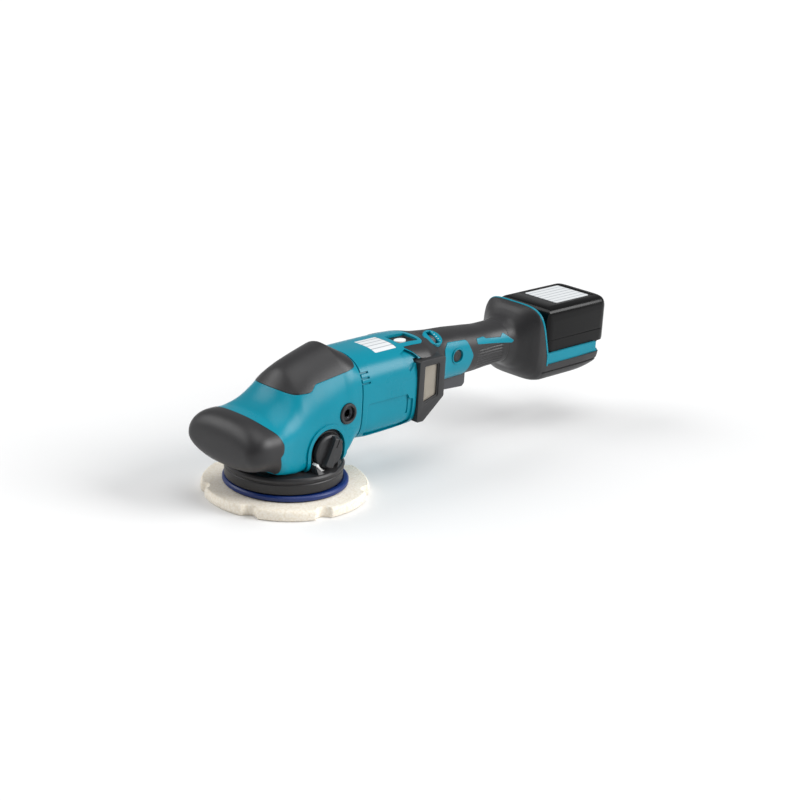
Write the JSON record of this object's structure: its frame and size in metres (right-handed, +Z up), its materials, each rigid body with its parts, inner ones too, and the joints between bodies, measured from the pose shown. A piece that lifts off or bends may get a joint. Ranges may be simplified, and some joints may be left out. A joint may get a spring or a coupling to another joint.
{
  "type": "dual action polisher",
  "caption": "Cordless dual action polisher: orbiting pad under a geared head, in-line motor housing, barrel grip with trigger and slide-on battery.",
  "frame": {"origin": "on the drive spindle's axis, at the polishing pad's working face", "axes": "+Z up from the pad, +X along the body towards the battery, -Y the side with the mode knob"},
  "size_m": [0.5328, 0.167, 0.145],
  "materials": {
    "teal_shell": "moulded ABS, satin gloss",
    "soft_rubber": "matt overmoulded elastomer",
    "black_gloss": "glossy polycarbonate",
    "dark_plastic": "fine spark-eroded texture",
    "grey_plastic": "satin moulded nylon",
    "pad_fibre": "short microfibre pile",
    "hook_fabric": "hook tape",
    "blue_plate": "moulded polyurethane",
    "steel": "turned and ground",
    "gear_steel": "hardened, dark ground",
    "cast_aluminium": "die cast",
    "copper": "enamelled windings",
    "mesh_cloth": "fine woven filter mesh",
    "blank_label": "printed film, blank",
    "cell_wrap": "shrink film",
    "board": "circuit board and potting"
  },
  "bodies": {
    "housing": {"knob_surround": "dark_plastic", "bearing_box": "cast_aluminium", "gear_housing": "cast_aluminium", "ring_gear": "gear_steel", "spindle_bearing_lower": "steel", "spindle_bearing_upper": "steel", "bearing_retainer": "cast_aluminium", "skirt": "dark_plastic", "head_cover": "teal_shell", "nose_grip": "soft_rubber", "crown_grip": "soft_rubber", "insert_left": "steel", "insert_right": "steel", "insert_rings": "dark_plastic", "motor_bearing_front": "steel", "motor_bearing_rear": "steel", "stator_core": "gear_steel", "stator_coils": "copper", "motor_housing": "teal_shell", "controller": "board", "top_plate": "blank_label", "indicator_window": "dark_plastic", "grip_left": "soft_rubber", "grip_right": "soft_rubber", "side_panel_left": "teal_shell", "side_panel_right": "teal_shell", "grip_screws": "steel", "dial_bezel": "teal_shell", "switch_body": "dark_plastic", "trigger_spring": "steel", "battery_shoe": "soft_rubber", "shoe_liner": "teal_shell", "terminal_block": "dark_plastic"},
    "spindle": {"spindle": "steel", "counterweight": "gear_steel", "bevel_gear": "gear_steel"},
    "rotor": {"motor_shaft": "steel", "rotor_core": "gear_steel", "fan": "grey_plastic", "bevel_pinion": "gear_steel"},
    "pad": {"polishing_pad": "pad_fibre", "hook_disc": "hook_fabric", "backing_plate": "blue_plate", "pad_bolt": "steel", "pad_shaft": "gear_steel", "pad_bearings": "steel"},
    "mode_knob": {"mode_knob": "dark_plastic", "knob_shaft": "steel"},
    "lock_slider": {"lock_slider": "gear_steel"},
    "speed_dial": {"speed_dial": "dark_plastic"},
    "trigger": {"trigger": "grey_plastic"},
    "lock_button": {"lock_button": "grey_plastic"},
    "dust_cover_left": {"dust_cover_left": "dark_plastic", "dust_mesh_left": "mesh_cloth"},
    "dust_cover_right": {"dust_cover_right": "dark_plastic", "dust_mesh_right": "mesh_cloth"},
    "battery": {"battery_case": "black_gloss", "battery_cells": "cell_wrap", "latch_spring": "steel"},
    "battery_latch": {"battery_latch": "dark_plastic"}
  },
  "joints": [
    {"name": "drive_spin", "type": "hinge", "parent": "housing", "child": "spindle", "pos_m": [0, 0, 0.092], "axis": [0, 0, 1], "continuous": true},
    {"name": "motor_spin", "type": "hinge", "parent": "housing", "child": "rotor", "pos_m": [0, 0, 0.092], "axis": [1, 0, 0], "continuous": true},
    {"name": "pad_spin", "type": "hinge", "parent": "spindle", "child": "pad", "pos_m": [0.00275, 0, 0.02], "axis": [0, 0, 1], "continuous": true},
    {"name": "mode_turn", "type": "hinge", "parent": "housing", "child": "mode_knob", "pos_m": [0.0155, -0.05, 0.052], "axis": [0, -1, 0], "range_deg": [0, 90]},
    {"name": "lock_lift", "type": "slide", "parent": "housing", "child": "lock_slider", "axis": [0, 0, 1], "range_m": [0, 0.00566]},
    {"name": "dial_turn", "type": "hinge", "parent": "housing", "child": "speed_dial", "pos_m": [0.185, -0.01165, 0.12166], "axis": [1, 0, 0], "range_deg": [0, 270]},
    {"name": "trigger_pull", "type": "slide", "parent": "housing", "child": "trigger", "axis": [0, 0, 1], "range_m": [0, 0.005], "stiffness_N_per_m": 1500, "springref_m": -0.002, "deforming": ["trigger_spring"]},
    {"name": "lock_press", "type": "slide", "parent": "housing", "child": "lock_button", "axis": [0, 1, 0], "range_m": [0, 0.003], "stiffness_N_per_m": 800, "springref_m": -0.001},
    {"name": "dust_left_off", "type": "slide", "parent": "housing", "child": "dust_cover_left", "axis": [0, -1, 0], "range_m": [0, 0.015]},
    {"name": "dust_right_off", "type": "slide", "parent": "housing", "child": "dust_cover_right", "axis": [0, 1, 0], "range_m": [0, 0.015]},
    {"name": "battery_slide", "type": "slide", "parent": "housing", "child": "battery", "axis": [1, 0, 0], "range_m": [0, 0.09]},
    {"name": "latch_press", "type": "slide", "parent": "battery", "child": "battery_latch", "axis": [0, 0, 1], "range_m": [0, 0.003], "stiffness_N_per_m": 900, "springref_m": -0.001, "deforming": ["latch_spring"]}
  ],
  "couplings": [
    {"joint": "motor_spin", "follows": "drive_spin", "ratio": 3.0833},
    {"joint": "pad_spin", "follows": "drive_spin", "ratio": -1.1163},
    {"joint": "mode_turn", "follows": "lock_lift", "rad_per_m": 277.68}
  ]
}
